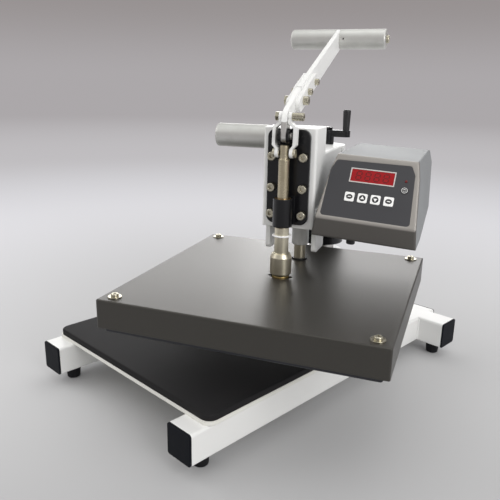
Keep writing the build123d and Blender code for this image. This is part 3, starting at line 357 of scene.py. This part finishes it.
def piece_from(name, mesh, body, finish, smooth=True):
    """Make a piece of the press from a mesh that is already in its place."""
    data = bpy.data.meshes.new(name)
    mesh.to_mesh(data)
    mesh.free()
    if smooth:
        data.polygons.foreach_set("use_smooth", [True] * len(data.polygons))
    piece = bpy.data.objects.new(name, data)
    bpy.context.scene.collection.objects.link(piece)
    data.materials.append(finish.owner)
    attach(piece, body)
    return piece


def straight(start, end, pitch=1.1):
    """Points from start to end, one for each ripple of a bead."""
    first = Vector(start)
    span = Vector(end) - first
    count = max(2, int(span.length / pitch))
    return [first + span * (index / count) for index in range(count + 1)]


tube_low = 25.0
tube_high = 65.0
inner_face = 142.6
outer_face = 188.6
middle_tube_front = -23.0
middle_tube_rear = 23.0
rear_tube_front = 63.0
rear_tube_rear = 109.0
frame_bead = 2.4
seams = []
for side in (-1, 1):
    for seam_y in (middle_tube_front, middle_tube_rear, rear_tube_front):
        seams.append((side * inner_face, seam_y))
    for seam_y in (rear_tube_front, rear_tube_rear):
        seams.append((side * outer_face, seam_y))
    seams.append((side * inner_face, rear_tube_rear))
for number, (seam_x, seam_y) in enumerate(seams):
    foot = (column_x + seam_x, column_y + seam_y, tube_low)
    head = (column_x + seam_x, column_y + seam_y, tube_high)
    seam = straight(foot, head)
    bead(f"frame_weld_{number + 1}", seam, frame_bead, False, "base", white_finish)


# Tube end caps and feet: the caps are moulded in near black plastic and pressed into
# the open tube ends, flush with the steel. The feet are black rubber cones.
cap_finish = Finish("cap_plastic")
cap_soft, cap_edge = rounded(cap_finish, 0.001)
cap_cloud = cap_finish.grain(60.0, 3.0)
cap_wear = cap_edge * 0.5 + cap_cloud * 0.25
cap_finish.surface(
    Base_Color=cap_finish.blend(cap_wear, (0.003, 0.004, 0.007), (0.012, 0.014, 0.020)),
    Roughness=0.5 + cap_cloud * 0.16,
    Specular_IOR_Level=0.13,
    Normal=bumped(cap_finish, cap_finish.grain(1700.0, 2.0), 0.00005, cap_soft),
)
dress(cap_finish, "tube_end_caps")

rubber_finish = Finish("foot_rubber")
rubber_cloud = rubber_finish.grain(90.0, 4.0)
rubber_soft, rubber_edge = rounded(rubber_finish, 0.0008)
rubber_wear = rubber_edge + rubber_cloud * 0.4
rubber_finish.surface(
    Base_Color=rubber_finish.blend(rubber_wear, (0.004, 0.004, 0.006), (0.014, 0.014, 0.016)),
    Roughness=0.62 + rubber_cloud * 0.2,
    Specular_IOR_Level=0.3,
    Normal=bumped(rubber_finish, rubber_finish.grain(1300.0, 3.0), 0.00008, rubber_soft),
)
dress(rubber_finish, "rubber_feet")


# Lower platen: a steel plate with a cream coat, welded flat on the long tubes. The
# pad on it is dark silicone sponge with a fine closed skin.
plate_finish = powder_coat(
    "plate_coat", (0.78, 0.77, 0.72), (0.62, 0.61, 0.57), gloss=0.36, peel_depth=0.00005
)
dress(plate_finish, "lower_platen_plate")

pad_finish = Finish("silicone_sponge")
pad_soft, pad_edge = rounded(pad_finish, 0.0015)
pad_cloud = pad_finish.grain(9.0, 4.0)
pad_fleck = pad_finish.grain(1500.0, 2.0)
pore_inputs = {"Vector": pad_finish.spot(), "Scale": 900.0}
pores = pad_finish.node("ShaderNodeTexVoronoi", None, pore_inputs)["Distance"]
pad_mottle = pad_cloud * 0.6 + pad_fleck * 0.3
pad_skin = pad_finish.blend(pad_mottle, (0.010, 0.0095, 0.010), (0.022, 0.021, 0.022))
pad_finish.surface(
    Base_Color=pad_finish.blend(pad_edge * 0.5, pad_skin, (0.03, 0.03, 0.031)),
    Roughness=0.58 + pad_cloud * 0.1 + pad_fleck * 0.06,
    Specular_IOR_Level=0.15,
    Normal=bumped(pad_finish, pores * 0.5 + pad_fleck, 0.00009, pad_soft),
)
dress(pad_finish, "silicone_pad")


# Column and spindle: a thick white post on a round flange, held by four cap screws,
# with a ground steel spindle that carries the arm. A bronze nut for the lift screw
# sits on its top, and a tall black collar slides on it under the sleeve.
black_finish = powder_coat(
    "black_powder_coat", (0.005, 0.005, 0.006), (0.020, 0.020, 0.022), 0.20, 0.00003, shine=0.4
)
dress(black_finish, "height_collar")
dress(white_finish, "column")


def turned(name, shade, dark_shade, gloss, axis, lines, depth=0.000006, ease=0.0012):
    """Metal turned on a lathe, or drawn, with fine lines across an axis."""
    metal = Finish(name)
    soft, edge = rounded(metal, ease)
    run = metal.along(axis)
    cloud = metal.grain(45.0, 4.0)
    inputs = {"W": run, "Scale": lines, "Detail": 3.0}
    ridge = metal.node("ShaderNodeTexNoise", {"noise_dimensions": "1D"}, inputs)["Fac"]
    tone = metal.blend(metal.band(cloud, 0.35, 0.8) * 0.6 + ridge * 0.3, shade, dark_shade)
    metal.surface(
        Base_Color=metal.blend(edge * 0.5, tone, [min(1.0, part * 1.25) for part in shade]),
        Metallic=1.0,
        Roughness=gloss + cloud * 0.1 + ridge * 0.08,
        Normal=bumped(metal, ridge, depth, soft),
    )
    return metal


steel_finish = turned(
    "ground_steel", (0.56, 0.55, 0.53), (0.42, 0.41, 0.39), gloss=0.2, axis=upright, lines=2600.0
)
bronze_finish = turned(
    "turned_bronze", (0.52, 0.36, 0.18), (0.36, 0.24, 0.11), gloss=0.26, axis=upright, lines=1800.0
)
dress(steel_finish, "spindle")
dress(bronze_finish, "lift_nut")

screw_finish = Finish("screw_plating")
screw_soft, screw_edge = rounded(screw_finish, 0.0006)
screw_cloud = screw_finish.grain(210.0, 4.0)
screw_tone = screw_edge * 0.4 + screw_cloud * 0.5
screw_finish.surface(
    Base_Color=screw_finish.blend(screw_tone, (0.44, 0.41, 0.31), (0.84, 0.80, 0.67)),
    Metallic=1.0,
    Roughness=0.2 + screw_cloud * 0.14,
    Normal=bumped(screw_finish, screw_finish.grain(1500.0, 3.0), 0.00003, screw_soft),
)
dress(screw_finish, "column_bolts")


# Swing arm: one welded and white coated piece with a front box, a beam and the
# sleeve that turns on the spindle. Two ears reach down beside the ram. Bronze
# bushings are pressed into both ends of the sleeve.
swing = math.radians(24.1)
reach = 270.0
arm_right = Vector((math.cos(swing), math.sin(swing), 0.0))
arm_back = Vector((-math.sin(swing), math.cos(swing), 0.0))
arm_offset = 2.2
ram_foot = Vector((column_x, column_y, 0.0)) - arm_back * reach + arm_right * arm_offset


def on_arm(x, y, z):
    """A point of the arm in millimetres: right of the ram, behind it and above the table."""
    return ram_foot + arm_right * x + arm_back * y + upright * z


dress(white_finish, "swing_arm", "control_bracket")
dress(white_finish, "guide_rod_bushing")
dress(bronze_finish, "sleeve_bushings", "ram_bushing")
beam_edge = 30.0
beam_foot = 294.0
beam_head = 374.0
box_rear = 84.0
arm_bead = 2.6
for side, word, sleeve_front in ((-1, "left", 248.6), (1, "right", 255.0)):
    for end, seat_y in (("beam", box_rear), ("sleeve", sleeve_front)):
        foot = on_arm(side * beam_edge, seat_y, beam_foot)
        head = on_arm(side * beam_edge, seat_y, beam_head)
        seam = straight(foot, head)
        bead(f"{end}_weld_{word}", seam, arm_bead, False, "arm", white_finish)
top_half = 27.0
beam_top = 377.6
thin_bead = 2.2
seam = straight(on_arm(-top_half, box_rear, beam_top), on_arm(top_half, box_rear, beam_top))
bead("beam_weld_top", seam, thin_bead, False, "arm", white_finish)
post_radius = 40.0
flange_top = 78.2
flange_steps = 220
seam = []
for step in range(flange_steps):
    turn = math.radians(360 * step / flange_steps)
    spoke = Vector((math.cos(turn), math.sin(turn), 0.0)) * post_radius
    seam.append(Vector((column_x, column_y, flange_top)) + spoke)
bead("column_weld", seam, thin_bead, True, "base", white_finish)


# Guide plate: a black coated steel plate on the front of the box, held by six cap
# screws. It carries the bronze lined boss of the ram and the two ears of the lever.
dress(black_finish, "guide_plate")
dress(screw_finish, "guide_plate_screws")
pin_finish = turned(
    "pin_steel", (0.62, 0.60, 0.56), (0.46, 0.45, 0.42), gloss=0.18, axis=arm_right, lines=2200.0
)
dress(pin_finish, "fulcrum_pin")


# Swing handle: a bare satin aluminium tube on the left of the front box, brushed
# round, with a pressed plug in its end.
aluminium_finish = turned(
    "satin_aluminium", (0.72, 0.72, 0.69), (0.64, 0.64, 0.61),
    gloss=0.42, axis=arm_right, lines=900.0, depth=0.000003, ease=0.002,
)
dress(aluminium_finish, "swing_handle", "swing_handle_plug")


# Control box: a grey coated steel cover behind a warm grey metallic bezel, which is
# paler on its slope and edges: painted highlight. A dark film covers the sloping front,
# round the display, the lamp and the keys. The whole box leans a little to the right.
box_roll = math.radians(2.8)
box_slope = math.radians(60.0)
box_right = arm_right * math.cos(box_roll) - upright * math.sin(box_roll)
box_up = arm_right * math.sin(box_roll) + upright * math.cos(box_roll)
box_corner = on_arm(45.6 - arm_offset, 4.6, 270.6)
lip_height = 29.0
panel_origin = box_corner + box_up * lip_height
panel_out = box_up * math.cos(box_slope) - arm_back * math.sin(box_slope)
panel_up = panel_out.cross(box_right)
box_finish = powder_coat(
    "housing_coat", (0.235, 0.244, 0.25), (0.35, 0.36, 0.37), 0.5, 0.00004, shine=0.25
)
dress(box_finish, "control_housing", "control_floor")


def metallic_paint(name, shade, glint_shade, gloss, flake, ease=0.0022, slope_highlight=None):
    """Paint with metal flakes and a fine leathery skin, with a painted highlight on its edges, and
    a paler painted highlight on the sloping front if asked.
    """
    paint = Finish(name)
    soft, edge = rounded(paint, ease)
    cloud = paint.grain(6.0, 3.0)
    skin = paint.grain(760.0, 2.5)
    spark = paint.band(paint.grain(2400.0, 1.0), 0.55, 0.8)
    tone = paint.blend(spark * 0.35 + cloud * 0.15, shade, glint_shade)
    # Painted highlight: the sloping front, which faces up, is painted paler.
    if slope_highlight:
        slope_level = panel_origin.dot(panel_out) * millimetre
        lit_slope = paint.band(paint.along(panel_out), slope_level - 0.002, slope_level - 0.0004)
        tone = paint.blend(lit_slope, tone, slope_highlight)
    paint.surface(
        # Painted highlight: the edges are painted towards the pale glint colour.
        Base_Color=paint.blend(edge * 0.3, tone, glint_shade),
        Metallic=flake,
        Roughness=gloss + skin * 0.08 + cloud * 0.05,
        Normal=bumped(paint, skin, 0.00012, soft),
    )
    return paint


bezel_finish = metallic_paint(
    "bezel_paint", (0.10, 0.094, 0.086), (0.20, 0.19, 0.175),
    gloss=0.34, flake=0.45, ease=0.004, slope_highlight=(0.35, 0.33, 0.305),
)
dress(bezel_finish, "control_bezel")

film_finish = Finish("panel_film")
film_fleck = film_finish.grain(2000.0, 2.0)
film_cloud = film_finish.grain(30.0, 3.0)
film_tone = film_cloud * 0.4 + film_fleck * 0.2
film_finish.surface(
    Base_Color=film_finish.blend(film_tone, (0.036, 0.036, 0.040), (0.05, 0.05, 0.055)),
    Roughness=0.42 + film_cloud * 0.1,
    Normal=bumped(film_finish, film_fleck, 0.00003, film_finish.facing()),
)
dress(film_finish, "control_panel")

pale_finish = Finish("pale_plastic")
pale_cloud = pale_finish.grain(120.0, 3.0)
pale_soft, pale_edge = rounded(pale_finish, 0.0004)
pale_tone = pale_cloud * 0.5 + pale_edge * 0.3
pale_finish.surface(
    Base_Color=pale_finish.blend(pale_tone, (0.50, 0.48, 0.46), (0.62, 0.60, 0.58)),
    Roughness=0.3 + pale_cloud * 0.1,
    Normal=pale_soft,
)
dress(pale_finish, "display_frame")

# The red window has a faint emission, a painted glow, though the display is unlit.
red_finish = Finish("red_window")
red_cloud = red_finish.grain(55.0, 3.0)
red_shade = red_finish.blend(red_cloud, (0.25, 0.006, 0.009), (0.31, 0.009, 0.012))
red_finish.surface(
    Base_Color=red_shade,
    Roughness=0.3 + red_cloud * 0.05,
    Specular_IOR_Level=0.2,
    Emission_Color=red_shade,
    Emission_Strength=0.06,
)
dress(red_finish, "display_window")

lamp_finish = Finish("lamp_lens")
lamp_cloud = lamp_finish.grain(300.0, 2.0)
lamp_finish.surface(
    Base_Color=lamp_finish.blend(lamp_cloud, (0.10, 0.004, 0.004), (0.16, 0.01, 0.01)),
    Roughness=0.16 + lamp_cloud * 0.06,
)
dress(lamp_finish, "power_lamp")

key_finish = Finish("key_cap")
key_cloud = key_finish.grain(160.0, 3.0)
key_soft, key_edge = rounded(key_finish, 0.0005)
key_tone = key_edge * 0.4 + key_cloud * 0.2
key_finish.surface(
    Base_Color=key_finish.blend(key_tone, (0.86, 0.86, 0.85), (0.72, 0.71, 0.69)),
    Roughness=0.38 + key_cloud * 0.1,
    Normal=bumped(key_finish, key_finish.grain(1800.0, 2.0), 0.00002, key_soft),
)
dress(key_finish, "menu_key", "up_key", "down_key", "enter_key")

black_plastic = Finish("black_plastic")
plastic_cloud = black_plastic.grain(80.0, 3.0)
plastic_soft, plastic_edge = rounded(black_plastic, 0.0007)
plastic_tone = plastic_edge * 0.5 + plastic_cloud * 0.3
black_plastic.surface(
    Base_Color=black_plastic.blend(plastic_tone, (0.010, 0.010, 0.011), (0.032, 0.032, 0.034)),
    Roughness=0.36 + plastic_cloud * 0.14,
    Normal=bumped(black_plastic, black_plastic.grain(1500.0, 2.0), 0.00004, plastic_soft),
)
dress(black_plastic, "power_key", "fuse_holder", "power_inlet", "crank_grip", "guide_rod_grommet")


# Marks on the keys: black seals with a pale bar, a triangle up, a triangle down and a
# second bar, printed on the white caps. A pale ring with a stroke marks the power key.
ink_lift = 0.12


def on_panel(across, rise, out):
    """A point of the sloping front in millimetres: across, up the slope and out of it."""
    return (panel_origin + box_right * across + panel_up * rise + panel_out * out) * millimetre


def printed(name, shapes, out, body, finish, thickness=ink_lift):
    """Thin raised marks on the sloping front, each an outline with an optional hole."""
    mesh = bmesh.new()

    def wall(first, second):
        """Faces between two loops of points."""
        for index in range(len(first)):
            after = (index + 1) % len(first)
            mesh.faces.new((first[index], first[after], second[after], second[index]))

    for outline, hole in shapes:
        low = [mesh.verts.new(on_panel(x, y, out)) for x, y in outline]
        high = [mesh.verts.new(on_panel(x, y, out + thickness)) for x, y in outline]
        wall(low, high)
        if hole:
            inner_low = [mesh.verts.new(on_panel(x, y, out)) for x, y in hole]
            inner_high = [mesh.verts.new(on_panel(x, y, out + thickness)) for x, y in hole]
            wall(high, inner_high)
            wall(inner_high, inner_low)
            wall(inner_low, low)
        else:
            mesh.faces.new(high)
            mesh.faces.new(list(reversed(low)))
    bmesh.ops.recalc_face_normals(mesh, faces=mesh.faces)
    return piece_from(name, mesh, body, finish, smooth=False)


def disc_points(middle, radius, count=32, wide=1.0):
    """Points round a circle or an oval on the sloping front."""
    points = []
    for step in range(count):
        turn = 2 * math.pi * step / count
        x = middle[0] + wide * radius * math.cos(turn)
        points.append((x, middle[1] + radius * math.sin(turn)))
    return points


def bar_points(middle, width, height_of_bar):
    """Corners of an upright rectangle on the sloping front."""
    left = middle[0] - width / 2
    right = middle[0] + width / 2
    low = middle[1] - height_of_bar / 2
    high = middle[1] + height_of_bar / 2
    return [(left, low), (right, low), (right, high), (left, high)]


ink_finish = Finish("key_ink")
ink_cloud = ink_finish.grain(700.0, 2.0)
ink_finish.surface(
    Base_Color=ink_finish.blend(ink_cloud, (0.012, 0.012, 0.013), (0.035, 0.035, 0.036)),
    Roughness=0.4 + ink_cloud * 0.1,
)
key_rise = 1.0
sunk = 0.02
seal_rise = key_rise - sunk
sign_rise = key_rise + 0.05
round_seal = 4.7
oval_seal = 3.7
oval_stretch = 1.28
arrow_half = 3.0
arrow_foot = 1.7
arrow_tip = 3.1
sign_bar = (4.8, 1.5)
key_v = 36.1
key_columns = {"menu": 47.7, "up": 66.6, "down": 85.3, "enter": 104.2}
for word, key_x in key_columns.items():
    middle = (key_x, key_v)
    if word in ("up", "down"):
        point = 1 if word == "up" else -1
        foot = key_v - point * arrow_foot
        seal = disc_points(middle, round_seal)
        sign = [
            (key_x - point * arrow_half, foot),
            (key_x + point * arrow_half, foot),
            (key_x, key_v + point * arrow_tip),
        ]
    else:
        seal = disc_points(middle, oval_seal, wide=oval_stretch)
        sign = bar_points(middle, *sign_bar)
    printed(f"{word}_key_seal", [(seal, None)], seal_rise, word, ink_finish)
    printed(f"{word}_key_sign", [(sign, None)], sign_rise, word, key_finish)

power_middle = (123.0, 55.6)
outer_ring = (4.3, 3.6)
inner_ring = (2.2, 1.75)
stroke_middle = (power_middle[0], power_middle[1] + 1.5)
power_mark = [
    (disc_points(power_middle, outer_ring[0]), disc_points(power_middle, outer_ring[1])),
    (disc_points(power_middle, inner_ring[0], 24), disc_points(power_middle, inner_ring[1], 24)),
    (bar_points(stroke_middle, 0.6, 2.2), None),
]
printed("power_key_mark", power_mark, seal_rise, "power", key_finish)


# Digits of the display: four unlit figures of seven strokes, as thin dark red marks on
# the red window.
digit_finish = Finish("digit_strokes")
digit_cloud = digit_finish.grain(400.0, 2.0)
digit_finish.surface(
    Base_Color=digit_finish.blend(digit_cloud, (0.11, 0.003, 0.005), (0.15, 0.005, 0.006)),
    Roughness=0.2 + digit_cloud * 0.08,
)
display_middle = (74.9, 70.2)
digit_height = 12.4
digit_width = 7.2
digit_slant = 0.09
digit_pitch = 13.2
digit_count = 4
stroke = 1.7
stroke_rise = 0.08
stroke_shapes = []
for place in range(digit_count):
    digit_x = display_middle[0] + (place - (digit_count - 1) / 2) * digit_pitch
    strokes = []
    for level in (-1, 0, 1):
        strokes.append(bar_points((0, level * digit_height / 2), digit_width - stroke, stroke))
    for side in (-1, 1):
        for level in (-1, 1):
            middle = (side * digit_width / 2, level * digit_height / 4)
            strokes.append(bar_points(middle, stroke, digit_height / 2 - stroke))
    for outline in strokes:
        slanted = [(digit_x + x + y * digit_slant, display_middle[1] + y) for x, y in outline]
        stroke_shapes.append((slanted, None))
printed("display_digits", stroke_shapes, -sunk, "arm", digit_finish, stroke_rise)


# Crank: a black cast arm under a black nut on the lift screw over the sleeve, with a
# plastic grip. It raises and lowers the arm on the spindle.
dress(black_finish, "crank_arm", "crank_nut")
dress(steel_finish, "lift_screw")


# Pull lever: a forged bar, bare at the fulcrum and white above it, is bolted between
# two fish plates to a flat white blade. Two satin aluminium grips make a tee at its end.
bar_finish = Finish("forged_steel")
bar_soft, bar_edge = rounded(bar_finish, 0.0012)
bar_cloud = bar_finish.grain(70.0, 5.0)
coat_edge = 0.434
coat_line = bar_finish.along(upright) + bar_cloud * 0.003
coated = bar_finish.band(coat_line, coat_edge - 0.0005, coat_edge + 0.0005)
bare_shade = bar_finish.blend(bar_cloud + bar_edge * 0.3, (0.62, 0.61, 0.58), (0.80, 0.79, 0.76))
bar_finish.surface(
    Base_Color=bar_finish.blend(coated, bare_shade, white_coat),
    Metallic=0.9 - coated * 0.9,
    Roughness=0.3 + bar_cloud * 0.14,
    Normal=bumped(bar_finish, bar_finish.grain(420.0, 4.0), 0.00004, bar_soft),
)
dress(bar_finish, "lever_crank_bar")
dress(white_finish, "lever_blade", "fish_plates", "toggle_links")
dress(screw_finish, "lever_screws", "lever_nuts", "link_bolt", "link_bolt_nut", "tee_rod")
dress(aluminium_finish, "tee_grips")


# Ram and coupling: nickel plated turned steel, slightly yellow, over a brass seat. The
# guide rod and the link pins are plated alike, and a white plastic ring stops the ram.
# The ram's plate is a darker copy of the same plate: painted shade.
nickel_finish = turned(
    "nickel_plate", (0.78, 0.73, 0.58), (0.58, 0.535, 0.40),
    gloss=0.26, axis=upright, lines=500.0, depth=0.000002, ease=0.0015,
)
brass_finish = turned(
    "turned_brass", (0.62, 0.47, 0.20), (0.44, 0.32, 0.13), gloss=0.3, axis=upright, lines=1500.0
)
# Painted shade: the ram's plate is a darker copy of the nickel plate.
shaded_ram_finish = turned(
    "shaded_plate", (0.56, 0.50, 0.36), (0.37, 0.32, 0.21),
    gloss=0.2, axis=upright, lines=500.0, depth=0.000002, ease=0.0015,
)
dress(shaded_ram_finish, "ram_shaft")
dress(nickel_finish, "coupling", "guide_rod", "link_pins")
dress(brass_finish, "coupling_seat")
dress(key_finish, "stop_ring")


# Head: a folded cover in dark warm grey metallic paint over a thick heated platen
# with a dark non-stick coat. Four plated screws with washers hold the cover on posts,
# and a fibre board keeps the heat in.
cover_finish = metallic_paint(
    "cover_paint", (0.052, 0.049, 0.043), (0.13, 0.124, 0.112), gloss=0.33, flake=0.55
)
dress(cover_finish, "head_cover")
dress(screw_finish, "cover_screws")
dress(steel_finish, "cover_posts")
platen_finish = Finish("platen_coat")
platen_soft, platen_edge = rounded(platen_finish, 0.0012)
platen_cloud = platen_finish.grain(25.0, 4.0)
platen_tone = platen_cloud * 0.6 + platen_edge * 0.3
platen_finish.surface(
    Base_Color=platen_finish.blend(platen_tone, (0.012, 0.013, 0.018), (0.03, 0.031, 0.037)),
    Roughness=0.4 + platen_cloud * 0.14,
    Normal=bumped(platen_finish, platen_finish.grain(900.0, 3.0), 0.00006, platen_soft),
)
dress(platen_finish, "heat_platen")
board_finish = Finish("fibre_board")
board_cloud = board_finish.grain(60.0, 4.0)
board_weave = board_finish.grain(700.0, 4.0)
board_finish.surface(
    Base_Color=board_finish.blend(board_cloud, (0.66, 0.63, 0.54), (0.52, 0.49, 0.41)),
    Roughness=0.8 + board_weave * 0.1,
    Normal=bumped(board_finish, board_weave, 0.0003, board_finish.facing()),
)
dress(board_finish, "insulation")
